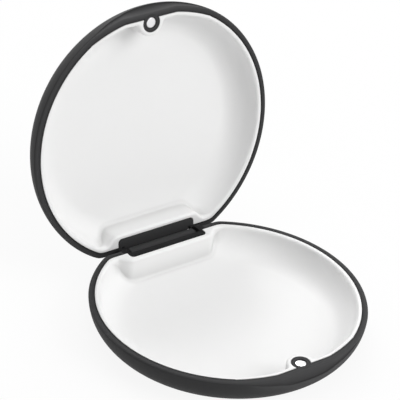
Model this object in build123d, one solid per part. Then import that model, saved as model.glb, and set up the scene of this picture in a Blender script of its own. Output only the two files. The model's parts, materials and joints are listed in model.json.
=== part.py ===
from build123d import *
import math
import os

# Round clamshell case for a dental retainer, in millimetres.
# Z is up, the base stands on the origin, X runs along the hinge and Y points to the hinge side.
# The model is stored open, as the case stands on a table.

# Outer form of each half
rim_radius = 42.85            # outside of the shell at the parting plane
half_height = 11.0            # from the flat face of a half to the parting plane
edge_width = 10.0             # reach of the rounded edge, from the flat face out to the rim
land_width = 1.85             # dark rim between the outside and the liner
shell_floor = 1.6             # thickness of the shell under the liner
chord_setback = 5.65          # how far the straight hinge side lies inside the round outline
chord_corner = 6.0            # plan radius where the straight side meets the round outline

# Finger scoop along the front of each half
scoop_half_width = 22.5       # from the middle to where the scoop leaves the round outline
scoop_inset = 1.15            # how far the scoop arc is drawn in at the middle
front_setback = 2.05          # how far the short straight front lies inside the round outline
scoop_depth = 3.1             # height of the scoop below the parting plane
scoop_lean = 19.0             # lean of the scoop's face, in degrees from upright
scoop_cove = 1.2              # radius at the foot of the scoop
front_corner = 6.0            # plan radius of the soft corners of the front

# White liners
liner_wall = 1.4
liner_floor = 1.1
liner_gap = 0.08              # all round, between liner and shell
tray_edge = 8.2               # reach of the rounded edge inside the tray
bead_radius = 0.55            # rounding on the inner edge of the liner's rim

# Gap between the closed halves
parting_gap = 0.1

# Magnets and the collars that hold them
collar_radius = 3.1
collar_reach = 3.4            # from the front of the outline to the collar's centre
magnet_radius = 1.7
magnet_thickness = 2.0
magnet_recess = 0.35          # top of the magnet below the rim
magnet_gap = 0.04             # around the magnet in its pocket
magnet_chamfer = 0.12

# Hinge
open_angle = 98.0             # from closed to the stop
axis_drop = 2.7               # axis below the parting plane
pin_radius = 0.8
pin_clearance = 0.05          # running fit of the knuckle on the pin
pin_chamfer = 0.2
barrel_radius = 2.2
knuckle_half = 12.0           # half length of the knuckle
boss_radius = 1.5             # ends of the barrel that run against the ears
slot_width = 1.1              # open slot between the knuckle and each ear
end_play = 0.1
ear_thickness = 2.2
barrel_gap = 0.25             # around the turning barrel
stop_gap = 0.03               # between the open knuckle and its stop
notch_depth = 2.9             # reach of the hinge notch into the liner, from its straight side
notch_side = 2.2              # reach of the notch past each end of the knuckle
notch_corner = 1.3
box_wall = 1.5                # liner wall in front of the hinge notch
box_side = 2.8                # liner wall beside the notch
box_corner = 3.0
lip_height = 2.0              # liner left over the hinge roots
hinge_gap = 0.1               # around the hinge parts in shell and liner
plate_height = 4.2            # knuckle plate above the parting plane
bracket_depth = 6.4           # bracket below the parting plane, behind the shell
round_edge = 1.2              # rounding on the hinge parts' rear edges

# Sizes that follow
chord_y = rim_radius - chord_setback
front_y = front_setback - rim_radius
scoop_rise = rim_radius - scoop_inset - math.sqrt(rim_radius**2 - scoop_half_width**2)
arc_radius = (scoop_half_width**2 + scoop_rise**2) / (2 * scoop_rise)
arc_centre_y = arc_radius - (rim_radius - scoop_inset)
axis_z = half_height - axis_drop
liner_inset = land_width + liner_gap
tray_inset = liner_inset + liner_wall
rim_z = half_height - parting_gap / 2
collar_y = front_y + collar_reach
notch_y = chord_y - land_width - notch_depth
notch_half = knuckle_half + notch_side
box_half = notch_half + box_side
ear_inner = knuckle_half + slot_width
ear_outer = ear_inner + ear_thickness
root_front = notch_y + hinge_gap
root_back = chord_y - land_width - hinge_gap
knuckle_back = chord_y + barrel_radius
ear_radius = axis_drop + parting_gap / 2 - barrel_gap    # the lid's edge swings past it
hinge_axis = Axis((0, chord_y, axis_z), (1, 0, 0))


def box(x_half, y_low, y_high, z_low, z_high):
    """Block centred on X between the given planes."""
    block = Box(2 * x_half, y_high - y_low, z_high - z_low)
    return Pos(0, (y_low + y_high) / 2, (z_low + z_high) / 2) * block


def rod(radius, half_length):
    """Cylinder along the hinge axis."""
    place = Pos(0, chord_y, axis_z) * Rot(0, 90, 0)
    return place * Cylinder(radius, 2 * half_length)


def plan(inset, scooped=True):
    """Outline of a half seen from above, drawn in by inset from the outside of the rim."""
    reach = 2 * rim_radius
    face = Circle(rim_radius - inset)
    face &= Pos(0, chord_y - inset - reach / 2) * Rectangle(reach, reach)
    hinge_corners = [v for v in face.vertices() if v.Y > chord_y - inset - 0.01]
    face = fillet(hinge_corners, chord_corner - inset)
    if scooped:
        face &= Pos(0, arc_centre_y) * Circle(arc_radius - inset)
        face &= Pos(0, front_y + inset + reach / 2) * Rectangle(reach, reach)
        front_corners = [v for v in face.vertices() if v.Y < front_y + inset + 0.01]
        face = fillet(front_corners, front_corner)
    return face


def bowl(radius, edge, depth):
    """Round solid under the parting plane, with a flat floor and an elliptical edge."""
    floor_z = half_height - depth
    flat = radius - edge
    lines = [
        Line((0, floor_z), (flat, floor_z)),
        EllipticalCenterArc((flat, half_height), edge, depth, 270, arc_size=90),
        Line((radius, half_height), (0, half_height)),
        Line((0, half_height), (0, floor_z)),
    ]
    profile = make_face(Plane.XZ * (Curve() + lines))
    return revolve(profile, Axis.Z)


def prism(inset, scooped=True):
    """Upright walls on the plan outline, through the whole half."""
    return extrude(plan(inset, scooped), rim_z)


def cavity():
    """Hollow of the shell that the liner drops into."""
    depth = half_height - shell_floor
    hollow = bowl(rim_radius - land_width, edge_width - land_width, depth)
    return hollow & prism(land_width)


def scoop_section():
    """Section of the scoop's cut: its face leans out from the rim down to a cove and a flat foot."""
    foot_z = half_height - scoop_depth
    lean = scoop_depth * math.tan(math.radians(scoop_lean))
    corners = [(0, half_height), (lean, foot_z), (edge_width, foot_z), (edge_width, half_height)]
    section = Plane.XZ * Polygon(*corners, align=None)
    foot = section.vertices().sort_by(Axis.Z)[:2].sort_by(Axis.X)[0]
    return fillet(foot, scoop_cove)


def scoop_cutter():
    """Everything outside the scoop's arc and the short straight front."""
    arc = Pos(0, arc_centre_y) * revolve(Pos(arc_radius, 0) * scoop_section(), Axis.Z)
    straight = Rot(0, 0, -90) * extrude(scoop_section(), rim_radius, both=True)
    return arc + Pos(0, front_y) * straight


def collar(radius, z_low):
    """Upright cylinder on the magnet's axis, up to the rim."""
    height = rim_z - z_low
    return Pos(0, collar_y, z_low + height / 2) * Cylinder(radius, height)


def shell(notch_x, notch_below):
    """Outer shell with its chord, scoop, magnet collar and the opening for the hinge."""
    outside = bowl(rim_radius, edge_width, half_height) & prism(0, scooped=False)
    outside -= scoop_cutter()
    body = outside - cavity()
    body += collar(collar_radius, 0) & outside
    body -= collar(magnet_radius + magnet_gap, rim_z - magnet_recess - magnet_thickness)
    body -= box(notch_x, root_back, knuckle_back, half_height - notch_below, half_height)
    return body


def hinge_box():
    """Upright block that the tray leaves standing around the hinge."""
    front = notch_y - box_wall
    outline = Pos(0, front + rim_radius / 2) * RectangleRounded(2 * box_half, rim_radius, box_corner)
    return extrude(outline, half_height)


def liner_envelope():
    """Outside of the liner, which the roots of the hinge also keep to."""
    edge = edge_width - land_width - liner_gap
    envelope = bowl(rim_radius - liner_inset, edge, half_height - shell_floor)
    return envelope & prism(liner_inset)


def tray():
    """Hollow of the liner that holds the retainer."""
    depth = half_height - shell_floor - liner_floor
    hollow = bowl(rim_radius - tray_inset, tray_edge, depth) & prism(tray_inset)
    hollow -= hinge_box()
    hollow -= collar(collar_radius + liner_gap + liner_wall, 0)
    return hollow


def liner():
    """White liner with its hinge notch and the hole for the magnet collar."""
    body = liner_envelope() - tray()
    body -= collar(collar_radius + liner_gap, 0)
    body -= notch_prism(0)
    body -= box(ear_outer + hinge_gap, notch_y, chord_y, 0, rim_z - lip_height)
    top = body.faces().sort_by(Axis.Z)[-1]
    return fillet(top.inner_wires()[0].edges(), bead_radius)


def notch_prism(inset):
    """Upright space of the hinge notch, drawn in by inset."""
    front = notch_y + inset
    middle = front + rim_radius / 2
    outline = RectangleRounded(2 * (notch_half - inset), rim_radius, notch_corner)
    return extrude(Pos(0, middle) * outline, rim_z)


def magnet():
    """Nickel-plated disc magnet in its collar."""
    top = rim_z - magnet_recess
    disc = Cylinder(magnet_radius, magnet_thickness)
    disc = chamfer(disc.edges(), magnet_chamfer)
    return Pos(0, collar_y, top - magnet_thickness / 2) * disc


def root(top_z):
    """Foot of a hinge leaf on the shell's floor, held down by the lip of the liner."""
    return box(ear_outer, root_front, root_back, 0, top_z) & liner_envelope()


def knuckle():
    """Lid's hinge leaf: barrel, arm, plate in the notch and the root under the lid liner."""
    plate_top = half_height + plate_height
    plate_low = half_height + parting_gap / 2
    body = rod(barrel_radius, knuckle_half)
    body += rod(boss_radius, ear_inner - end_play)
    body += box(knuckle_half, chord_y, knuckle_back, axis_z, plate_top)
    body += box(knuckle_half, root_front, knuckle_back, plate_low, plate_top)
    notch = mirror(notch_prism(hinge_gap), Plane.XY.offset(half_height))
    body += box(notch_half, root_front, root_back, plate_low, plate_top) & notch
    body += mirror(root(half_height - plate_height), Plane.XY.offset(half_height))
    body -= rod(pin_radius + pin_clearance, rim_radius)
    rear = [e for e in body.edges().filter_by(Axis.X) if e.center().Y > knuckle_back - 0.01]
    return fillet([e for e in rear if e.center().Z > plate_top - 0.01], round_edge)


def bracket():
    """Base's hinge bracket: front strip, two ears, the shelf under the barrel and its root."""
    low_z = half_height - bracket_depth
    body = box(ear_outer, root_back, knuckle_back, low_z, rim_z)
    rear = [e for e in body.edges().filter_by(Axis.X) if e.center().Y > knuckle_back - 0.01]
    body = fillet(rear, round_edge) + root(rim_z)
    barrel_front = chord_y - barrel_radius - barrel_gap
    body -= box(ear_inner, barrel_front, knuckle_back, axis_z, half_height)
    body -= rod(barrel_radius + barrel_gap, ear_inner)
    body -= box(ear_outer, chord_y, knuckle_back, axis_z, rim_z) - rod(ear_radius, ear_outer)
    body -= stop_cutter()
    lip_z = rim_z - lip_height - hinge_gap
    lip_back = chord_y - liner_inset + hinge_gap
    body -= box(ear_outer, 0, lip_back, lip_z, rim_z) - notch_prism(hinge_gap)
    return body - rod(pin_radius, ear_outer)


def stop_cutter():
    """Space behind the pin that the arm of the knuckle needs when it is open."""
    reach = 2 * barrel_radius
    swept = box(ear_inner, chord_y - reach, knuckle_back + stop_gap, axis_z, axis_z + 2 * reach)
    return swept.rotate(hinge_axis, -open_angle)


def opened(piece):
    """Lid piece turned from its closed place to the stop."""
    return piece.rotate(hinge_axis, -open_angle)


def lid_side(piece):
    """Base piece mirrored over the parting plane and turned open."""
    return opened(mirror(piece, Plane.XY.offset(half_height)))


def build():
    """Every node of the case in its place, lid open."""
    pin = rod(pin_radius, ear_outer)
    return {
        "base_shell": shell(ear_outer + hinge_gap, bracket_depth + hinge_gap),
        "base_liner": liner(),
        "base_magnet": magnet(),
        "hinge_bracket": bracket(),
        "hinge_pin": chamfer(pin.edges(), pin_chamfer),
        "lid_shell": lid_side(shell(ear_inner + hinge_gap, plate_height + hinge_gap)),
        "lid_liner": lid_side(liner()),
        "lid_magnet": lid_side(magnet()),
        "hinge_knuckle": opened(knuckle()),
    }


os.makedirs("parts", exist_ok=True)
for name, solid in build().items():
    export_step(solid, f"parts/{name}.step")
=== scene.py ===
"""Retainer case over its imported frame: shells, liners, hinge, magnets and a studio stage."""

import json
import math
from types import SimpleNamespace

import bmesh
import bpy
import numpy as np
from bpy.props import FloatProperty, FloatVectorProperty, PointerProperty
from mathutils import Matrix, Vector


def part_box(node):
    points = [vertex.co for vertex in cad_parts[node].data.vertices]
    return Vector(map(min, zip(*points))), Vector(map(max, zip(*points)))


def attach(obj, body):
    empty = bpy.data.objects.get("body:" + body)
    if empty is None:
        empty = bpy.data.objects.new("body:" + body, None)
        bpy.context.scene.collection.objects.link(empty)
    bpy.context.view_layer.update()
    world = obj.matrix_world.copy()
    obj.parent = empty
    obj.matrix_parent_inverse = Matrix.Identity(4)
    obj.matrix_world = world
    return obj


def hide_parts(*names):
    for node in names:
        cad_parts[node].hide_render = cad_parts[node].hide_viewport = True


bl_info = {
    "name": "Retainer Case",
    "version": (1, 0, 0),
    "blender": (4, 5, 0),
    "location": "View3D > Sidebar > Case",
    "description": "Round clamshell case with a white liner, a rear hinge and magnets at the front",
    "category": "Object",
}

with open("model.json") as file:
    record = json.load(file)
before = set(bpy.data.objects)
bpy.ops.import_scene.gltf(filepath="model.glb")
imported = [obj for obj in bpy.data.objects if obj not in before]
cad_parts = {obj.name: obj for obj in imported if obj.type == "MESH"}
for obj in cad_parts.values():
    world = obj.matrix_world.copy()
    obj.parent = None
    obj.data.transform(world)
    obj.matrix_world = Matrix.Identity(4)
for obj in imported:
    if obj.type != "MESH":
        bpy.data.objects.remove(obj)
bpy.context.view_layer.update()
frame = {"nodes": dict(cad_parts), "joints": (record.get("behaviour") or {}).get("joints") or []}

MM = 0.001  # metres in a millimetre

# Places and sizes that the frame already holds, in metres
hinge = frame["joints"][0]
hinge_y, hinge_z = hinge["pos_m"][1], hinge["pos_m"][2]
open_angle = math.radians(hinge["range_deg"][1])
shell_low, shell_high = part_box("base_shell")
magnet_low, magnet_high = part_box("base_magnet")
bracket_low, bracket_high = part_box("hinge_bracket")
half_gap = 0.05 * MM  # from each rim to the plane where the closed halves part
parting_z = shell_high.z + half_gap


# Sizes and colours

def length(name, description, default):
    """A size in metres that the sidebar shows as a length."""
    return FloatProperty(name=name, description=description, default=default, unit="LENGTH", precision=5)


def colour(name, description, default):
    """A linear colour without alpha."""
    return FloatVectorProperty(name=name, description=description, default=default, subtype="COLOR",
                               size=3, min=0, max=1)


def strength(name, description, default):
    """A number of 0 or more, such as a light's strength."""
    return FloatProperty(name=name, description=description, default=default, min=0)


class CaseSizes(bpy.types.PropertyGroup):
    """Sizes of one half of the case, shared by the shells and the liners."""
    rim_radius: length("Rim Radius", "Outside of the shell at the parting plane",
                       (shell_high.x - shell_low.x) / 2)
    rim_height: length("Rim Height", "Height of the rim of the base", shell_high.z)
    half_height: length("Half Height", "From the underside to the parting plane", parting_z)
    edge_reach: length("Edge Reach", "Width of the rounded edge under the rim", 10 * MM)
    rim_width: length("Rim Width", "Black rim beside the liner", 1.85 * MM)
    shell_floor: length("Shell Floor", "Thickness of the shell's floor", 1.6 * MM)
    rim_round: length("Rim Rounding", "Radius along the outer edge of the rim", 0.35 * MM)
    chord_y: length("Hinge Side", "Straight hinge side, from the middle", hinge_y)
    chord_softness: length("Hinge Corner Softness", "Rounding where the hinge side meets the circle",
                           0.84 * MM)
    belly_softness: length("Hinge Side Softness", "Rounding under the straight hinge side", 1.6 * MM)
    scoop_radius: length("Scoop Radius", "Radius of the finger scoop seen from above", 51 * MM)
    scoop_inset: length("Scoop Inset", "How far the scoop is drawn in at the middle", 1.15 * MM)
    front_setback: length("Front Setback", "How far the short straight front is drawn in", 2.05 * MM)
    front_softness: length("Front Softness", "Rounding at the ends of the straight front", 0.1 * MM)
    scoop_depth: length("Scoop Depth", "Height of the scoop", 3.0 * MM)
    scoop_rise: FloatProperty(name="Scoop Rise", description="How fast the scoop deepens as it is drawn in",
                              default=2.5)
    scoop_softness: length("Scoop Softness", "Rounding of the scoop's lower line", 1.6 * MM)
    scoop_lean: FloatProperty(name="Scoop Lean", description="Lean of the scoop's face",
                              default=math.radians(19), subtype="ANGLE")
    band_height: length("Band Height", "Fine line around the body, under the parting plane", 0.65 * MM)
    band_step: length("Band Step", "How far the rim above that line is drawn in", 0.14 * MM)
    lip_round: length("Lip Rounding", "Radius along the lip under the scoop", 0.22 * MM)
    mouth_round: length("Mouth Rounding", "Radius along the inner edge of the rim", 0.2 * MM)
    collar_radius: length("Collar Radius", "Round collar of the magnet", 2.9 * MM)
    collar_y: length("Collar Place", "Middle of the collar", (magnet_low.y + magnet_high.y) / 2)
    pocket_radius: length("Pocket Radius", "Hole for the magnet",
                          (magnet_high.x - magnet_low.x) / 2 + 0.04 * MM)
    pocket_floor: length("Pocket Floor", "Bottom of the hole for the magnet", magnet_low.z)
    pocket_chamfer: length("Pocket Chamfer", "Chamfer at the mouth of that hole", 0.15 * MM)


class LinerSizes(bpy.types.PropertyGroup):
    """Sizes of the white liner."""
    liner_gap: length("Liner Gap", "Between the shell's rim and the liner", 0.08 * MM)
    liner_wall: length("Liner Wall", "Thickness at the rim", 1.4 * MM)
    liner_floor: length("Liner Floor", "Thickness of the floor", 1.1 * MM)
    tray_edge: length("Tray Edge", "Width of the rounded edge inside the tray", 8.2 * MM)
    bead: length("Bead", "Rounding along the inner edge of the rim", 0.95 * MM)
    outer_bead: length("Outer Bead", "Rounding along the outer edge of the rim", 0.2 * MM)
    foot: length("Foot Fillet", "Fillet at the foot of the upright walls", 0.9 * MM)
    notch_y: length("Notch", "Front face of the hinge notch", bracket_low.y - 0.1 * MM)
    notch_half: length("Notch Half Width", "Half width of the hinge notch", 14.2 * MM)
    notch_corner: length("Notch Corner", "Corner radius of the hinge notch", 1.3 * MM)
    box_wall: length("Box Wall", "Liner wall in front of the notch", 1.5 * MM)
    box_half: length("Box Half Width", "Half width of the hinge box in the tray", 17 * MM)
    box_corner: length("Box Corner", "Corner radius of the hinge box", 3 * MM)
    softness: length("Tray Softness", "Rounding where the edge of the tray turns", 0.8 * MM)


class FittingSizes(bpy.types.PropertyGroup):
    """Openings that the hinge leaves pass through, and edges of the leaves and the magnets."""
    opening_front: length("Opening Front", "Front of both openings, from the middle",
                          bracket_high.y - 4.15 * MM)
    base_half: length("Base Half Width", "Half width of the base's opening", bracket_high.x + 0.1 * MM)
    base_depth: length("Base Depth", "Depth of the base's opening under the parting plane", 6.5 * MM)
    lid_half: length("Lid Half Width", "Half width of the lid's opening", 13.2 * MM)
    lid_depth: length("Lid Depth", "Depth of the lid's opening from the parting plane", 4.3 * MM)
    bracket_round: length("Bracket Rounding", "Along the sharp edges of the base's leaf", 0.15 * MM)
    knuckle_round: length("Knuckle Rounding", "Along the sharp edges of the lid's leaf", 0.2 * MM)
    magnet_round: length("Magnet Rounding", "Along the sharp edges of the magnets", 0.06 * MM)


class CaseColours(bpy.types.PropertyGroup):
    """Colours of the case."""
    shell: colour("Shell", "Soft black of the shells", (0.042, 0.042, 0.043))
    liner: colour("Liner", "White of the liners", (0.85, 0.85, 0.845))
    bracket: colour("Bracket", "Black of the base's hinge leaf", (0.01, 0.01, 0.0105))
    knuckle: colour("Knuckle", "Black of the lid's hinge leaf", (0.038, 0.038, 0.039))
    magnet: colour("Magnet", "Nickel of the magnets", (0.82, 0.82, 0.83))
    pin: colour("Pin", "Steel of the hinge pin", (0.5, 0.5, 0.51))


class StageSettings(bpy.types.PropertyGroup):
    """Camera and studio."""
    azimuth: FloatProperty(name="Azimuth", description="Camera direction, from the front",
                           default=math.radians(-36.7), subtype="ANGLE")
    elevation: FloatProperty(name="Elevation", description="Camera height as an angle",
                             default=math.radians(32.62), subtype="ANGLE")
    roll: FloatProperty(name="Roll", description="Camera roll", default=math.radians(4.65), subtype="ANGLE")
    distance: length("Distance", "From the camera to its target", 729.5 * MM)
    target: FloatVectorProperty(name="Target", description="Point that the camera looks at",
                                default=(23.24 * MM, 49.8 * MM, 11 * MM), subtype="XYZ", size=3)
    focal: FloatProperty(name="Focal Length", description="In widths of the picture", default=5.5975)
    front_light: strength("Front Light", "Power of the softbox at the front right, in watts", 9.4)
    back_light: strength("Back Light", "Power of the softbox at the back, in watts", 8.6)
    top_light: strength("Top Light", "Power of the softbox above, in watts", 3.2)
    softbox_size: length("Softbox Size", "Width of each square softbox", 0.8)
    room_light: strength("Room Light", "Strength of the even light from all around", 0.36)
    floor_glow: strength("Floor Glow", "Share of plain white in the floor that the camera sees", 0.9)


# Node trees as expressions

class Wire:
    """One output socket of a node tree. Arithmetic on it adds Math nodes."""

    def __init__(self, tree, socket):
        self.tree, self.socket = tree, socket

    def math(self, operation, *values):
        return Board(self.tree).add("ShaderNodeMath", {"operation": operation}, dict(enumerate(values)))

    def __add__(self, other):
        return self.math("ADD", self, other)

    def __sub__(self, other):
        return self.math("SUBTRACT", self, other)

    def __mul__(self, other):
        return self.math("MULTIPLY", self, other)

    def __truediv__(self, other):
        return self.math("DIVIDE", self, other)

    def __rsub__(self, other):
        return self.math("SUBTRACT", other, self)

    def __rtruediv__(self, other):
        return self.math("DIVIDE", other, self)

    def __abs__(self):
        return self.math("ABSOLUTE", self)

    __radd__ = __add__
    __rmul__ = __mul__


class Board:
    """A node tree that nodes are added to."""

    def __init__(self, tree):
        self.tree = tree

    def add(self, kind, settings=None, values=None, out=0):
        """Adds one node: its settings are set first, then the values or links of its sockets."""
        node = self.tree.nodes.new(kind)
        for key, setting in (settings or {}).items():
            setattr(node, key, setting)
        for key, value in (values or {}).items():
            for part in value if isinstance(value, list) else [value]:
                if isinstance(part, Wire):
                    self.tree.links.new(part.socket, node.inputs[key])
                else:
                    node.inputs[key].default_value = part
        return Wire(self.tree, node.outputs[out]) if node.outputs else node

    def point(self, x, y, z):
        """Joins three values into a vector."""
        return self.add("ShaderNodeCombineXYZ", {}, {0: x, 1: y, 2: z})

    def split(self, vector):
        """The three values of a vector."""
        node = self.tree.nodes.new("ShaderNodeSeparateXYZ")
        self.tree.links.new(vector.socket, node.inputs[0])
        return [Wire(self.tree, socket) for socket in node.outputs]


def lowest(a, b):
    """The lower of two values, as numbers or in a node tree."""
    wire = a if isinstance(a, Wire) else b
    return wire.math("MINIMUM", a, b) if isinstance(wire, Wire) else np.minimum(a, b)


def highest(a, b):
    """The higher of two values, as numbers or in a node tree."""
    wire = a if isinstance(a, Wire) else b
    return wire.math("MAXIMUM", a, b) if isinstance(wire, Wire) else np.maximum(a, b)


def root(value):
    """Square root, or 0 below 0."""
    value = highest(value, 0)
    return value.math("SQRT", value) if isinstance(value, Wire) else np.sqrt(value)


def soft_lowest(a, b, reach):
    """The lower of two values, rounded off where they come within reach of each other."""
    near = highest(reach - abs(a - b), 0)
    return lowest(a, b) - near * near / (reach * 4)


# Rules of the outline, for arrays of numbers and for wires alike.
# A direction is given by its sine and cosine from the front, which is -Y.

LEAST_COSINE = 0.01        # a straight side seen more askew than this counts as far away


def plan_radius(size, sine, cosine, inset, scooped=True):
    """Distance from the middle to the plan outline, drawn in by inset."""
    radius = size.rim_radius - inset
    if scooped:
        middle = size.scoop_radius - size.rim_radius + size.scoop_inset
        reach = size.scoop_radius - inset
        scoop = root(reach * reach - middle * sine * (middle * sine)) - middle * cosine
        front = (size.rim_radius - size.front_setback - inset) / highest(cosine, LEAST_COSINE)
        radius = soft_lowest(lowest(radius, scoop), front, size.front_softness)
    chord = (size.chord_y - inset) / highest(0 - cosine, LEAST_COSINE)
    return soft_lowest(radius, chord, size.chord_softness)


def bowl_radius(size, height):
    """Radius of the outside of the shell at a height under the parting plane."""
    rest = (size.half_height - height) / size.half_height
    return size.rim_radius - size.edge_reach + size.edge_reach * root(1 - rest * rest)


# Shell: a node tree that lays strips around the middle and joins them

SHELL_COLUMNS = 600
ROUND_COLUMNS = 96
FRONT_CROWDING = 0.5       # how much closer the columns stand at the front
FULL_DIP = 0.4             # share of the scoop's depth at which the rim is as round as it gets
DEEP_ROUNDING = 1.2        # how much rounder the rim is there
SHELL_WELD = 0.002 * MM    # points closer than this become one
COLLAR_DARKENING = -0.4         # darker tone over the whole collar
MOUTH_SHADE = -0.8          # painted shade where the rim meets the liner
LAND_LIGHT = 0.1            # painted highlight on the rim's flat top
SHELL_SHARP = math.radians(32)   # an edge that turns more than this is shaded sharp


def shell_tree(sizes):
    """Builds the node tree of a shell, with the case's sizes and the hinge opening as inputs."""
    tree = bpy.data.node_groups.new("case_shell", "GeometryNodeTree")
    board = Board(tree)
    tree.interface.new_socket("Geometry", in_out="OUTPUT", socket_type="NodeSocketGeometry")
    names = list(sizes.__annotations__) + ["opening_half", "opening_front", "opening_floor"]
    for name in names:
        tree.interface.new_socket(name, in_out="INPUT", socket_type="NodeSocketFloat")
    tree.interface.new_socket("Finish", in_out="INPUT", socket_type="NodeSocketMaterial")
    entry = tree.nodes.new("NodeGroupInput")
    size = SimpleNamespace(**{name: Wire(tree, entry.outputs[name]) for name in names})

    # Each strip is a flat sheet one unit wide. Its X becomes the turn around the middle,
    # with more columns at the front, and its Y runs across the strip.
    place = board.split(board.add("GeometryNodeInputPosition"))
    turn = (place[0] + 0.5) * math.tau
    turn = turn - turn.math("SINE", turn) * FRONT_CROWDING
    across = place[1] + 0.5
    sine, cosine = turn.math("SINE", turn), turn.math("COSINE", turn)

    def marked(geometry, wear):
        """Stores the painted light: 1 for painted highlights on edges, -1 for painted shade in creases and
        gaps, and a darker tone on the collar.
        """
        return board.add("GeometryNodeStoreNamedAttribute", {"data_type": "FLOAT", "domain": "POINT"}, {
            "Geometry": geometry, "Name": "wear", "Value": wear})

    def strip(rows, radius, height, wear=0.0):
        """A strip around the middle."""
        sheet = board.add("GeometryNodeMeshGrid", {}, {
            "Size X": 1.0, "Size Y": 1.0, "Vertices X": SHELL_COLUMNS + 1, "Vertices Y": rows + 1})
        where = board.point(radius * sine, 0 - radius * cosine, height)
        return board.add("GeometryNodeSetPosition", {}, {"Geometry": marked(sheet, wear), "Position": where})

    def outside(height):
        """Radius of the bowl at a height, cut by the straight hinge side."""
        chord = size.chord_y / highest(0 - cosine, LEAST_COSINE)
        return soft_lowest(bowl_radius(size, height), chord, size.belly_softness)

    quarter = across * (math.pi / 2)
    rise, fall = quarter.math("SINE", quarter), 1 - quarter.math("COSINE", quarter)
    left = 1 - across
    flat = size.rim_radius - size.edge_reach

    # The lip runs around the body as a fine line and dips under the scoop.
    scooped = plan_radius(size, sine, cosine, 0)
    drawn_in = plan_radius(size, sine, cosine, 0, scooped=False) - scooped
    rim = lowest(scooped, plan_radius(size, sine, cosine, size.band_step, scooped=False))
    dip = soft_lowest(drawn_in * size.scoop_rise, size.scoop_depth, size.scoop_softness)
    lip_height = size.half_height - highest(dip, size.band_height)
    lip_round = lowest(size.lip_round, (outside(lip_height) - rim) * 0.5)
    lip_start = outside(lip_height - lip_round)
    lip_end = lip_start - lip_round

    # Belly, from the flat underside up to the lip
    rest = 1 - (lip_height - lip_round) / size.half_height
    angle = rest.math("ARCCOSINE", rest) * across
    belly_height = size.half_height * (1 - angle.math("COSINE", angle))

    # How far the lip dips, from 0 beside the scoop to 1. The rim is rounder over the scoop.
    deep = lowest(highest(dip - size.band_height, 0) / (size.scoop_depth * FULL_DIP), 1)
    rim_round = size.rim_round * (deep * DEEP_ROUNDING + 1)

    # Hollow face above the lip, level at its foot and leaning at the rim
    face_top = size.rim_height - rim_round
    face_rise = face_top - lip_height
    lean = size.scoop_lean.math("TANGENT", size.scoop_lean)
    hollow = rim + lowest(face_rise * lean, (lip_end - rim) * 0.5)
    face = lip_end * (left * left) + hollow * (left * across * 2) + rim * (across * across)

    # Flat rim with its two rounded edges, and the hollow that the liner fills
    mouth = plan_radius(size, sine, cosine, size.rim_width)
    land_start, land_end = rim - rim_round, mouth + size.mouth_round
    inner_edge = size.edge_reach - size.rim_width
    depth = size.half_height - size.shell_floor

    def cavity_height(radius):
        """Height of the hollow's surface at a radius."""
        over = highest(radius - flat, 0) / inner_edge
        return size.half_height - depth * root(1 - over * over)

    wall_low = cavity_height(mouth)
    wall_top = size.rim_height - size.mouth_round
    turned = left * (math.pi / 2)
    bowl_inside = lowest(flat + inner_edge * turned.math("SINE", turned), mouth)

    # Painted highlights lighten the lip and the rim's edge, and painted shade darkens the foot of the hollow
    # above the lip and the rim's flat top where it meets the liner.
    lip_highlight = highest(across * 5 - 4, 0) * deep
    crease_shade_start = deep * 0.5 + 0.5
    crease_shade = left * left * crease_shade_start
    rim_highlight = across * across * 0.7
    edge_highlight = left * 0.5 + 0.2
    # The rim's flat top goes from a faint painted highlight at its outer edge to painted shade beside the
    # liner.
    land = LAND_LIGHT - across * across * (LAND_LIGHT - MOUTH_SHADE)

    strips = [
        strip(2, across * flat, across * 0),
        strip(26, outside(belly_height), belly_height, lip_highlight),
        strip(4, lip_start - lip_round * fall, lip_height - lip_round + lip_round * rise,
              deep * left - crease_shade_start * across),
        strip(14, face, lip_height + face_rise * (across * across), rim_highlight - crease_shade),
        strip(5, rim - rim_round * fall, face_top + rim_round * rise, edge_highlight),
        strip(3, land_start + (land_end - land_start) * across, size.rim_height + across * 0, land),
        strip(4, land_end - size.mouth_round * rise, size.rim_height - size.mouth_round * fall, MOUTH_SHADE),
        strip(3, mouth + across * 0, wall_top + (wall_low - wall_top) * across),
        strip(14, bowl_inside, lowest(cavity_height(bowl_inside), wall_low)),
        strip(2, flat * left, size.shell_floor + across * 0),
    ]
    joined = board.add("GeometryNodeJoinGeometry", {}, {"Geometry": strips[::-1]})
    body = board.add("GeometryNodeMergeByDistance", {}, {"Geometry": joined, "Distance": SHELL_WELD})

    def column(radius, bottom):
        """Upright cylinder on the magnet's axis, up to the rim."""
        made = board.add("GeometryNodeMeshCylinder", {}, {
            "Vertices": ROUND_COLUMNS, "Radius": radius, "Depth": size.rim_height - bottom})
        spot = board.point(0, size.collar_y, (size.rim_height + bottom) / 2)
        return board.add("GeometryNodeTransform", {}, {
            "Geometry": marked(made, COLLAR_DARKENING), "Translation": spot})

    # The collar's foot stays inside the shell's floor, which climbs towards the front.
    height = place[2]
    reach = root(place[0] * place[0] + place[1] * place[1])
    over = lowest(highest(reach - flat, 0) / size.edge_reach, 1)
    floor = size.half_height * (1 - root(1 - over * over)) + size.shell_floor * 0.5
    collar = board.add("GeometryNodeSetPosition", {}, {
        "Geometry": column(size.collar_radius, 0),
        "Selection": height.math("LESS_THAN", height, size.shell_floor),
        "Position": board.point(place[0], place[1], floor)})
    body = board.add("GeometryNodeMeshBoolean", {"operation": "UNION", "solver": "MANIFOLD"}, {
        "Mesh 2": [body, collar]})

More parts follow.
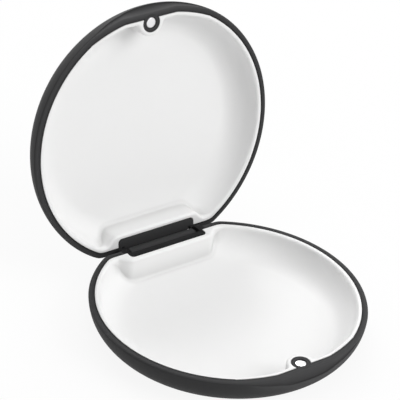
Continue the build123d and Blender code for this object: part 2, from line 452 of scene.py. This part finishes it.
    # The pocket for the magnet with its chamfer, and the opening for the hinge leaf
    cone_top, cone_low = size.rim_height + size.pocket_chamfer, size.rim_height - size.pocket_chamfer * 2
    cone = board.add("GeometryNodeMeshCone", {}, {
        "Vertices": ROUND_COLUMNS, "Radius Top": size.pocket_radius + size.pocket_chamfer * 2,
        "Radius Bottom": size.pocket_radius - size.pocket_chamfer, "Depth": cone_top - cone_low})
    cone = board.add("GeometryNodeTransform", {}, {
        "Geometry": cone, "Translation": board.point(0, size.collar_y, cone_low)})
    block_size = board.point(size.opening_half * 2, size.edge_reach, size.half_height)
    block_middle = board.point(0, size.opening_front + size.edge_reach / 2,
                               size.opening_floor + size.half_height / 2)
    block = board.add("GeometryNodeMeshCube", {}, {"Size": block_size})
    block = board.add("GeometryNodeTransform", {}, {"Geometry": block, "Translation": block_middle})
    cut = board.add("GeometryNodeMeshBoolean", {"operation": "DIFFERENCE", "solver": "MANIFOLD"}, {
        "Mesh 1": body, "Mesh 2": [column(size.pocket_radius, size.pocket_floor), cone, block]})

    smooth = board.add("GeometryNodeSetShadeSmooth", {}, {"Geometry": cut})
    edge_angle = board.add("GeometryNodeInputMeshEdgeAngle")
    sharp = board.add("FunctionNodeCompare", {"operation": "GREATER_THAN"}, {0: edge_angle, 1: SHELL_SHARP})
    smooth = board.add("GeometryNodeSetShadeSmooth", {"domain": "EDGE"}, {
        "Geometry": smooth, "Selection": sharp, "Shade Smooth": False})
    real = board.add("GeometryNodeRealizeInstances", {}, {"Geometry": smooth})
    painted = board.add("GeometryNodeSetMaterial", {}, {
        "Geometry": real, "Material": Wire(tree, entry.outputs["Finish"])})
    leave = tree.nodes.new("NodeGroupOutput")
    tree.links.new(painted.socket, leave.inputs[0])
    return tree


def grown(tree, values, name):
    """Runs a node tree on an empty mesh and returns the plain mesh that it makes."""
    carrier = bpy.data.objects.new(name, bpy.data.meshes.new(name))
    bpy.context.scene.collection.objects.link(carrier)
    modifier = carrier.modifiers.new("Shape", "NODES")
    modifier.node_group = tree
    for item in tree.interface.items_tree:
        if item.in_out == "INPUT":
            modifier[item.identifier] = values[item.name]
    evaluated = carrier.evaluated_get(bpy.context.evaluated_depsgraph_get())
    mesh = bpy.data.meshes.new_from_object(evaluated)
    carrier.modifiers.clear()
    bpy.data.objects.remove(carrier)
    mesh.name = name
    return mesh


# Liner: mesh code around its outlines

COLUMN_WIDTH = 0.4 * MM
FINE_STEPS = 20001         # directions that an outline is worked out in, before it is resampled
FAR = 1.0                  # metres, outside the whole case
STEEPEST_CLIMB = 130 * MM  # most that the tray outline's radius changes in one radian
HOLE_POINTS, CORNER_POINTS = 40, 9
BEAD_RINGS, OUTER_BEAD_RINGS, TRAY_RINGS = 9, 4, 31
TOP_STRIP = 0.06 * MM      # level strip on the rim beside each bead
UPRIGHT = 0.5 * MM         # lowest wall that gets a fillet at its foot
FULL_FILLET = 2 * MM       # wall height from which that fillet has its full radius
EDGE_SPREAD = 1.2          # reach of the close rings, in widths of the tray's rounded edge
FLOOR_RING = 0.6           # radius of the floor's outer ring, as a share of the flat floor's
HIDDEN_INSET = 3 * MM      # from the edge of the hidden flat bottom in to its ring
EVEN_SHARE = 0.05          # how far the columns on the floor are spread evenly
LINER_WELD = 0.001 * MM
LINER_SHARP = math.radians(40)


def resampled(points, step):
    """A line of points with even spacing near step, keeping its ends."""
    spans = np.hypot(*np.diff(points, axis=0).T)
    along = np.concatenate([[0], np.cumsum(spans)])
    marks = np.linspace(0, along[-1], max(3, round(along[-1] / step)) + 1)
    return np.stack([np.interp(marks, along, points[:, i]) for i in (0, 1)], -1)


def mirrored_loop(half):
    """Closes a line from the front to the back with its mirror image."""
    other = half[-2:0:-1] * [-1, 1]
    return np.concatenate([half, other])


def near_side(sine, cosine, x, y, radius):
    """Distance from the middle to the near side of an upright post, or far away if it is missed."""
    along = x * sine - y * cosine
    room = radius * radius - (x * x + y * y) + along * along
    hit = (room > 0) & (along > 0)
    return along - root(room) + FAR * (1 - hit)


def softened(loop, width):
    """Rounds the corners of a closed loop by a short running mean."""
    reach = max(1, round(width / COLUMN_WIDTH))
    weights = np.hanning(2 * reach + 3)[1:-1]
    weights /= weights.sum()
    return sum(w * np.roll(loop, k - reach, axis=0) for k, w in enumerate(weights))


def outward(loop):
    """Unit normals of a loop that runs from the front to the +X side."""
    step = np.roll(loop, -1, axis=0) - np.roll(loop, 1, axis=0)
    step /= np.hypot(*step.T)[:, None]
    return np.stack([step[:, 1], -step[:, 0]], -1)


def tray_loop(case, liner):
    """Edge of the tray at the rim: the plan outline with the hinge box and the magnet's bulge."""
    angle = np.linspace(0, math.pi, FINE_STEPS)
    sine, cosine = np.sin(angle), np.cos(angle)
    inset = case.rim_width + liner.liner_gap + liner.liner_wall
    radius = plan_radius(case, sine, cosine, inset)
    bulge = case.collar_radius + liner.liner_gap + liner.liner_wall
    radius = np.minimum(radius, near_side(sine, cosine, 0, case.collar_y, bulge))
    front = liner.notch_y - liner.box_wall
    corner_x = liner.box_half - liner.box_corner
    face = front / np.maximum(-cosine, LEAST_COSINE)
    face = np.where(face * sine <= corner_x, face, FAR)
    corner = near_side(sine, cosine, corner_x, front + liner.box_corner, liner.box_corner)
    radius = np.minimum(radius, np.minimum(face, corner))

    # No wall lies along a ray from the middle, because the columns of faces would pile up there.
    climb = STEEPEST_CLIMB * angle
    rising = np.minimum.accumulate(radius - climb) + climb
    falling = np.minimum.accumulate((radius + climb)[::-1])[::-1] - climb
    radius = np.minimum(rising, falling)
    half = np.stack([radius * sine, -radius * cosine], -1)
    return softened(mirrored_loop(resampled(half, COLUMN_WIDTH)), liner.softness)


def rim_loop(case, liner):
    """Outer edge of the liner's rim, with the hole for the collar and the hinge notch."""
    angle = np.linspace(0, math.pi, FINE_STEPS)
    sine, cosine = np.sin(angle), np.cos(angle)
    radius = plan_radius(case, sine, cosine, case.rim_width + liner.liner_gap)
    half = np.stack([radius * sine, -radius * cosine], -1)
    hole = case.collar_radius + liner.liner_gap
    outside = np.hypot(half[:, 0], half[:, 1] - case.collar_y) > hole
    half = half[outside & ((half[:, 0] >= liner.notch_half) | (half[:, 1] < 0))]
    last = math.atan2(half[0, 0], half[0, 1] - case.collar_y)
    around = [(hole * math.sin(t), case.collar_y + hole * math.cos(t))
              for t in np.linspace(0, last, HOLE_POINTS)]
    half = np.concatenate([around[:-1], half])
    corner = [(liner.notch_half - liner.notch_corner * (1 - math.cos(t)),
               liner.notch_y + liner.notch_corner * (1 - math.sin(t)))
              for t in np.linspace(0, math.pi / 2, CORNER_POINTS)]
    half = np.concatenate([half, corner, [(0, liner.notch_y)]])
    return mirrored_loop(resampled(half, COLUMN_WIDTH))


def bowl_height(radius, case, floor, flat, edge):
    """Height of a round hollow or bowl at a radius: flat floor, then an elliptical edge."""
    over = np.clip((radius - flat) / edge, 0, 1)
    return case.half_height - (case.half_height - floor) * np.sqrt(1 - over * over)


def fanned_ring(loop, radius):
    """A circle with as many points as the loop, each near the loop's own direction but never stacked."""
    half = len(loop) // 2
    angle = np.arctan2(loop[:half + 1, 0], -loop[:half + 1, 1])
    even = np.linspace(0, math.pi, half + 1)
    angle = np.maximum.accumulate(angle) * (1 - EVEN_SHARE) + even * EVEN_SHARE
    return mirrored_loop(np.stack([np.sin(angle), -np.cos(angle)], -1)) * radius


def inner_rings(case, liner):
    """Rings of the tray from the rim's flat top over the bead and down to the middle of the floor.
    Each ring has its points, its height and its painted shade, which is below 0 along the foot of the walls."""
    loop = tray_loop(case, liner)
    normal = outward(loop)
    top = case.rim_height
    rings = [(loop + normal * (liner.bead + TOP_STRIP), top, 0)]
    for angle in np.linspace(0, math.pi / 2, BEAD_RINGS):
        rings.append((loop + normal * liner.bead * (1 - math.sin(angle)),
                      top - liner.bead * (1 - math.cos(angle)), 0))
    floor = case.shell_floor + liner.liner_floor
    inset = case.rim_width + liner.liner_gap + liner.liner_wall
    flat = case.rim_radius - inset - liner.tray_edge
    wall_top = top - liner.bead
    foot = bowl_height(np.hypot(*loop.T), case, floor, flat, liner.tray_edge)
    upright = wall_top - foot
    walls = loop[upright > UPRIGHT]
    tall = np.clip(upright[upright > UPRIGHT] / FULL_FILLET, 0, 1)

    def surface(points):
        """Height and painted shade of the tray under the rim, with the fillet along upright walls."""
        height = bowl_height(np.hypot(*points.T), case, floor, flat, liner.tray_edge)
        gaps = np.hypot(points[:, None, 0] - walls[None, :, 0], points[:, None, 1] - walls[None, :, 1])
        nearest = gaps.argmin(1)
        fillet = liner.foot * tall[nearest]
        gap = gaps[np.arange(len(points)), nearest]
        near = np.clip(fillet - gap, 0, None)
        rise = fillet - np.sqrt(np.clip(fillet * fillet - near * near, 0, None))
        # painted shade where the walls meet the tray, fading out over twice the fillet's radius
        foot_shade = -np.clip(1 - gap / (2 * liner.foot), 0, 1) * tall[nearest]
        return np.minimum(height + rise, wall_top), foot_shade

    start, foot_shade = surface(loop)
    # the walls' painted shade grows towards their foot
    for share in (0.25, 0.5, 0.75):
        rings.append((loop, wall_top + (start - wall_top) * share, foot_shade * share * share))
    ring = fanned_ring(loop, FLOOR_RING * flat)
    way = ring - loop
    for angle in np.linspace(math.pi / 2, 0, TRAY_RINGS):
        distance = EDGE_SPREAD * liner.tray_edge * (1 - math.sin(angle))
        points = loop + way * (distance / np.hypot(*way.T))[:, None]
        rings.append((points, *surface(points)))
    last = rings[-1][0]
    for share in (0.5, 1):
        points = last + (ring - last) * share
        rings.append((points, *surface(points)))
    for share in (0.7, 0.4, 0.2):
        rings.append((ring * share, floor, 0))
    return rings, (0, 0, floor)


def outer_rings(case, liner):
    """Rings of the liner's hidden outside, from the rim's flat top down to the middle."""
    loop = rim_loop(case, liner)
    normal = outward(loop)
    top = case.rim_height
    rings = [(loop - normal * (liner.outer_bead + TOP_STRIP), top, 0)]
    # The outer bead darkens with painted shade towards the gap beside the shell's rim, and the hidden
    # outside below it is fully darkened.
    for angle in np.linspace(0, math.pi / 2, OUTER_BEAD_RINGS):
        rings.append((loop - normal * liner.outer_bead * (1 - math.sin(angle)),
                      top - liner.outer_bead * (1 - math.cos(angle)), -math.sin(angle)))
    inset = case.rim_width + liner.liner_gap
    flat = case.rim_radius - case.edge_reach
    edge = case.edge_reach - inset
    reach = np.hypot(*loop.T)
    foot = np.minimum(bowl_height(reach, case, case.shell_floor, flat, edge), top - liner.outer_bead)
    rings.append((loop, foot, -1))
    ring = fanned_ring(loop, flat - HIDDEN_INSET)
    for share in (0.08, 0.2, 0.4, 0.65, 1.0):
        points = loop + (ring - loop) * share
        height = bowl_height(np.hypot(*points.T), case, case.shell_floor, flat, edge)
        rings.append((points, np.minimum(height, foot), 0))
    rings.append((ring * 0.4, case.shell_floor, 0))
    return rings, (0, 0, case.shell_floor)


def add_rings(build, rings, middle, flip):
    """Adds rings of equal count to a mesh as quads, closed by a fan at the middle."""
    mark = build.verts.layers.float["wear"]
    loops = []
    for points, height, wear in rings:
        height, wear = np.broadcast_to(height, len(points)), np.broadcast_to(wear, len(points))
        loops.append([build.verts.new((x, y, z)) for (x, y), z in zip(points, height)])
        for vert, value in zip(loops[-1], wear):
            vert[mark] = value
    for above, below in zip(loops, loops[1:]):
        for i in range(len(above)):
            j = (i + 1) % len(above)
            quad = [above[i], above[j], below[j], below[i]]
            build.faces.new(quad[::-1] if flip else quad)
    tip = build.verts.new(middle)
    last = loops[-1]
    for i in range(len(last)):
        corner = [last[i], last[(i + 1) % len(last)], tip]
        build.faces.new(corner[::-1] if flip else corner)
    return loops[0]


def closed_edges(build, loop):
    """The edges along a closed loop of vertices."""
    return [build.edges.get((loop[i], loop[(i + 1) % len(loop)])) for i in range(len(loop))]


def liner_mesh(case, liner):
    """White liner of the base as one closed mesh."""
    build = bmesh.new()
    build.verts.layers.float.new("wear")
    inner = add_rings(build, *inner_rings(case, liner), flip=False)
    outer = add_rings(build, *outer_rings(case, liner), flip=True)
    rims = closed_edges(build, inner) + closed_edges(build, outer)
    bmesh.ops.triangle_fill(build, use_beauty=True, edges=rims, normal=(0, 0, 1))
    bmesh.ops.remove_doubles(build, verts=build.verts, dist=LINER_WELD)
    bmesh.ops.recalc_face_normals(build, faces=build.faces)
    mesh = bpy.data.meshes.new("liner")
    build.to_mesh(mesh)
    build.free()
    mesh.shade_smooth()
    mesh.set_sharp_from_angle(angle=LINER_SHARP)
    return mesh


# Pieces

CAD_WELD = 0.0005 * MM
FLAT_ANGLE = math.radians(0.3)   # CAD faces that meet at less than this are one flat face
BEVEL_ANGLE, BEVEL_SEGMENTS = math.radians(35), 3
LEAF_SHARP = math.radians(50)


def lid_place():
    """Matrix that mirrors a half over the parting plane and turns it open."""
    mirror = Matrix.Translation((0, 0, 2 * parting_z)) @ Matrix.Diagonal((1, 1, -1, 1))
    axis = Matrix.Translation((0, hinge_y, hinge_z))
    return axis @ Matrix.Rotation(-open_angle, 4, "X") @ axis.inverted() @ mirror


def piece(name, mesh, body, slot, *nodes):
    """Makes a mesh the visible piece for some CAD nodes of a body."""
    mesh.name = name
    made = bpy.data.objects.new(name, mesh)
    bpy.context.scene.collection.objects.link(made)
    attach(made, body)
    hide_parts(*nodes)


def opened_copy(mesh):
    """The lid's copy of a base mesh."""
    copy = mesh.copy()
    copy.transform(lid_place())
    copy.flip_normals()
    return copy


def rounded_copy(node, width, look):
    """Copy of a CAD node with its flat faces whole, its sharp edges rounded and its finish."""
    build = bmesh.new()
    build.from_mesh(frame["nodes"][node].data)
    bmesh.ops.remove_doubles(build, verts=build.verts, dist=CAD_WELD)
    bmesh.ops.dissolve_limit(build, angle_limit=FLAT_ANGLE, verts=build.verts, edges=build.edges)
    mesh = bpy.data.meshes.new(node)
    build.to_mesh(mesh)
    build.free()
    carrier = bpy.data.objects.new(node + "_work", mesh)
    bpy.context.scene.collection.objects.link(carrier)
    bevel = carrier.modifiers.new("Edges", "BEVEL")
    bevel.width, bevel.segments = width, BEVEL_SEGMENTS
    bevel.limit_method, bevel.angle_limit = "ANGLE", BEVEL_ANGLE
    evaluated = carrier.evaluated_get(bpy.context.evaluated_depsgraph_get())
    result = bpy.data.meshes.new_from_object(evaluated)
    bpy.data.objects.remove(carrier)
    result.shade_smooth()
    result.set_sharp_from_angle(angle=LEAF_SHARP)
    result.materials.clear()
    result.materials.append(look)
    return result


# Finishes

DRIFT_SCALE = 60.0         # noise scale of the slow change of tone
DRIFT_SHARE = 0.6          # of that change in the whole, and the rest is the grain
GRAIN_DEPTH = 0.02 * MM


def new_material(name):
    """Makes an empty node material and returns its Principled shader and its board."""
    material = bpy.data.materials.new(name)
    material.use_nodes = True
    tree = material.node_tree
    tree.nodes.clear()
    shader = tree.nodes.new("ShaderNodeBsdfPrincipled")
    leave = tree.nodes.new("ShaderNodeOutputMaterial")
    tree.links.new(shader.outputs[0], leave.inputs["Surface"])
    return shader, Board(tree)


def speckle(board, scale):
    """Even noise over the piece, from 0 to 1."""
    place = board.add("ShaderNodeTexCoord", out="Object")
    return board.add("ShaderNodeTexNoise", {}, {"Vector": place, "Scale": scale, "Detail": 3.0})


def finish(name, tone, roughness, variation, grain, bump, metallic=0.0, rubbing=0.0, **constants):
    """Moulded or plated surface: one tone with faint drifts, a fine grain and uneven gloss.
    Where the mesh marks them, painted highlights lighten edges, painted shade darkens creases and gaps, and
    the collar is darker."""
    shader, board = new_material(name)
    drift = speckle(board, DRIFT_SCALE)
    fine = speckle(board, grain)
    span = variation + rubbing
    light = [min(1, c * (1 + span)) for c in tone]
    dark = [c * (1 - span) for c in tone]
    change = (drift * DRIFT_SHARE + fine * (1 - DRIFT_SHARE) - 0.5) * (variation * 2)
    if rubbing:
        # painted highlights and painted shade from the mesh's marks, scaled by their strength
        wear = board.add("ShaderNodeAttribute", {"attribute_name": "wear"}, out=2)
        change = change + wear * (drift * 0.6 + 0.7) * rubbing
    blend = board.add("ShaderNodeMix", {"data_type": "RGBA"}, {
        0: change / (span * 2) + 0.5, 6: (*dark, 1), 7: (*light, 1)}, out=2)
    board.tree.links.new(blend.socket, shader.inputs["Base Color"])
    gloss = roughness * (0.9 + drift * 0.2)
    board.tree.links.new(gloss.socket, shader.inputs["Roughness"])
    shader.inputs["Metallic"].default_value = metallic
    for socket, value in constants.items():
        shader.inputs[socket.replace("_", " ")].default_value = value
    relief = board.add("ShaderNodeBump", {}, {
        "Strength": bump, "Distance": GRAIN_DEPTH, "Height": fine})
    board.tree.links.new(relief.socket, shader.inputs["Normal"])


def finishes():
    """The case's finishes by name, made once."""
    tones = bpy.context.scene.case_colours
    moulded = {"roughness": 0.6, "variation": 0.05, "grain": 9000.0, "bump": 0.2, "Specular_IOR_Level": 0.1}
    recipes = {
        "soft_black": moulded | {"tone": tones.shell, "variation": 0.06, "rubbing": 0.5},
        "white_plastic": {"tone": tones.liner, "roughness": 0.45, "variation": 0.01, "grain": 5000.0,
                          "bump": 0.05, "rubbing": 0.2, "Specular_IOR_Level": 0.35},
        "bracket_black": moulded | {"tone": tones.bracket},
        "knuckle_black": moulded | {"tone": tones.knuckle},
        "nickel": {"tone": tones.magnet, "roughness": 0.3, "variation": 0.04, "grain": 6000.0,
                   "bump": 0.06, "metallic": 1.0},
        "pin_steel": {"tone": tones.pin, "roughness": 0.35, "variation": 0.05, "grain": 8000.0,
                      "bump": 0.1, "metallic": 1.0},
    }
    for name, recipe in recipes.items():
        if name not in bpy.data.materials:
            finish(name, **recipe)
    return SimpleNamespace(**{name: bpy.data.materials[name] for name in recipes})


# Operators

def values_of(group):
    """A property group's values by name."""
    return {name: getattr(group, name) for name in group.__annotations__}


class CASE_OT_shells(bpy.types.Operator):
    """Make the two black shells with the finger scoop and the magnet collar"""
    bl_idname = "case.shells"
    bl_label = "Shells"

    def execute(self, context):
        sizes, fittings = context.scene.case_sizes, context.scene.case_fittings
        tree = shell_tree(sizes)
        values = values_of(sizes) | {"Finish": finishes().soft_black,
                                     "opening_front": fittings.opening_front}
        base_opening = {"opening_half": fittings.base_half,
                        "opening_floor": sizes.half_height - fittings.base_depth}
        base = grown(tree, values | base_opening, "base_shell_skin")
        piece("base_shell_skin", base, "base", "black_shell", "base_shell")
        lid_opening = {"opening_half": fittings.lid_half,
                       "opening_floor": sizes.half_height - fittings.lid_depth}
        lid = opened_copy(grown(tree, values | lid_opening, "lid_shell_skin"))
        piece("lid_shell_skin", lid, "lid", "black_shell", "lid_shell")
        return {"FINISHED"}


class CASE_OT_liners(bpy.types.Operator):
    """Make the two white liners with the hinge box and the bead around the rim"""
    bl_idname = "case.liners"
    bl_label = "Liners"

    def execute(self, context):
        mesh = liner_mesh(context.scene.case_sizes, context.scene.case_liner)
        mesh.materials.append(finishes().white_plastic)
        lid = opened_copy(mesh)
        piece("base_liner_skin", mesh, "base", "white_liner", "base_liner")
        piece("lid_liner_skin", lid, "lid", "white_liner", "lid_liner")
        return {"FINISHED"}


class CASE_OT_hinge(bpy.types.Operator):
    """Round the edges of the hinge leaves and give the pin its steel"""
    bl_idname = "case.hinge"
    bl_label = "Hinge"

    def execute(self, context):
        looks, fittings = finishes(), context.scene.case_fittings
        for node, body, look, width in (
                ("hinge_bracket", "base", looks.bracket_black, fittings.bracket_round),
                ("hinge_knuckle", "lid", looks.knuckle_black, fittings.knuckle_round)):
            piece(node + "_skin", rounded_copy(node, width, look), body, "black_hinge", node)
        pin = frame["nodes"]["hinge_pin"]
        pin.material_slots[0].material = looks.pin_steel
        return {"FINISHED"}


class CASE_OT_magnets(bpy.types.Operator):
    """Make the two plated disc magnets"""
    bl_idname = "case.magnets"
    bl_label = "Magnets"

    def execute(self, context):
        for node, body in (("base_magnet", "base"), ("lid_magnet", "lid")):
            disc = rounded_copy(node, context.scene.case_fittings.magnet_round, finishes().nickel)
            piece(node + "_skin", disc, body, "magnet_plating", node)
        return {"FINISHED"}


class CASE_OT_stage(bpy.types.Operator):
    """Set up the floor, the soft lights and the camera"""
    bl_idname = "case.stage"
    bl_label = "Stage"

    def execute(self, context):
        settings = context.scene.case_stage
        add_floor(settings)
        add_lights(settings)
        add_camera(settings)
        context.scene.view_settings.view_transform = "Standard"
        return {"FINISHED"}


def seen_rays(board):
    """1 for a ray that comes from the camera, a mirror or glass, and 0 for one that lights a surface."""
    path = board.tree.nodes.new("ShaderNodeLightPath")
    straight, glossy, clear = (Wire(board.tree, path.outputs[name]) for name in (
        "Is Camera Ray", "Is Glossy Ray", "Is Transmission Ray"))
    return highest(straight, highest(glossy, clear))


FLOOR_HALF = 3.0           # metres
FLOOR_DROP = 0.02 * MM     # keeps the floor clear of the flat underside


def add_floor(settings):
    """Pale floor that shows white to the camera and keeps the shadow."""
    build = bmesh.new()
    bmesh.ops.create_grid(build, x_segments=1, y_segments=1, size=FLOOR_HALF)
    mesh = bpy.data.meshes.new("floor")
    build.to_mesh(mesh)
    build.free()
    floor = bpy.data.objects.new("floor", mesh)
    bpy.context.scene.collection.objects.link(floor)
    floor.location.z = -FLOOR_DROP
    material = bpy.data.materials.new("floor_white")
    material.use_nodes = True
    board = Board(material.node_tree)
    material.node_tree.nodes.clear()
    matt = board.add("ShaderNodeBsdfDiffuse", {}, {"Color": (0.8, 0.8, 0.8, 1)})
    glow = board.add("ShaderNodeEmission", {}, {"Color": (1, 1, 1, 1), "Strength": 1.0})
    both = board.add("ShaderNodeMixShader", {}, {
        0: seen_rays(board) * settings.floor_glow, 1: matt, 2: glow})
    board.add("ShaderNodeOutputMaterial", {}, {"Surface": both})
    floor.data.materials.append(material)


def add_lights(settings):
    """Broad studio softboxes, aimed at the open case, and an even pale world."""
    aim = Vector((0, 0.02, 0.02))
    for name, place, watts in (
            ("front_right", (0.55, -0.85, 0.75), settings.front_light),
            ("back", (0.25, 0.9, 0.85), settings.back_light),
            ("top", (0, 0, 1.2), settings.top_light)):
        lamp = bpy.data.lights.new(name, "AREA")
        lamp.shape, lamp.size, lamp.energy = "SQUARE", settings.softbox_size, watts
        softbox = bpy.data.objects.new(name, lamp)
        bpy.context.scene.collection.objects.link(softbox)
        softbox.location = place
        softbox.rotation_euler = (aim - Vector(place)).to_track_quat("-Z", "Y").to_euler()
    world = bpy.data.worlds.new("studio")
    world.use_nodes = True
    board = Board(world.node_tree)
    world.node_tree.nodes.clear()
    sky_strength = seen_rays(board) * (1 - settings.room_light) + settings.room_light
    sky = board.add("ShaderNodeBackground", {}, {"Color": (1, 1, 1, 1), "Strength": sky_strength})
    board.add("ShaderNodeOutputWorld", {}, {"Surface": sky})
    bpy.context.scene.world = world


def add_camera(settings):
    """Camera at the photograph's angle."""
    azimuth, elevation, roll = settings.azimuth, settings.elevation, settings.roll
    back = Vector((math.sin(azimuth) * math.cos(elevation), -math.cos(azimuth) * math.cos(elevation),
                   math.sin(elevation)))
    right = Vector((math.cos(azimuth), math.sin(azimuth), 0))
    up = back.cross(right)
    tilted_right = right * math.cos(roll) + up * math.sin(roll)
    tilted_up = up * math.cos(roll) - right * math.sin(roll)
    lens = bpy.data.cameras.new("camera")
    lens.sensor_width = 36
    lens.lens = settings.focal * lens.sensor_width
    lens.clip_start, lens.clip_end = 0.01, 20
    camera = bpy.data.objects.new("camera", lens)
    bpy.context.scene.collection.objects.link(camera)
    turn = Matrix((tilted_right, tilted_up, back)).transposed().to_4x4()
    camera.matrix_world = Matrix.Translation(Vector(settings.target) + back * settings.distance) @ turn
    bpy.context.scene.camera = camera


class CASE_PT_panel(bpy.types.Panel):
    """Sidebar panel that lists the pieces and the stage"""
    bl_idname = "CASE_PT_panel"
    bl_label = "Retainer Case"
    bl_space_type = "VIEW_3D"
    bl_region_type = "UI"
    bl_category = "Case"

    def draw(self, context):
        for operator in OPERATORS:
            self.layout.operator(operator.bl_idname)
        for group in GROUPS:
            holder = getattr(context.scene, group)
            box = self.layout.box()
            for name in holder.__annotations__:
                box.prop(holder, name)


OPERATORS = (CASE_OT_shells, CASE_OT_liners, CASE_OT_hinge, CASE_OT_magnets, CASE_OT_stage)
GROUPS = {"case_sizes": CaseSizes, "case_liner": LinerSizes, "case_fittings": FittingSizes,
          "case_colours": CaseColours, "case_stage": StageSettings}


def register():
    for kind in (*GROUPS.values(), *OPERATORS, CASE_PT_panel):
        bpy.utils.register_class(kind)
    for name, kind in GROUPS.items():
        setattr(bpy.types.Scene, name, PointerProperty(type=kind))


def unregister():
    for name in GROUPS:
        delattr(bpy.types.Scene, name)
    for kind in reversed((*GROUPS.values(), *OPERATORS, CASE_PT_panel)):
        bpy.utils.unregister_class(kind)


def main():
    """Builds the case and its stage."""
    register()
    bpy.ops.case.shells()
    bpy.ops.case.liners()
    bpy.ops.case.hinge()
    bpy.ops.case.magnets()
    bpy.ops.case.stage()


if __name__ == "__main__":
    main()
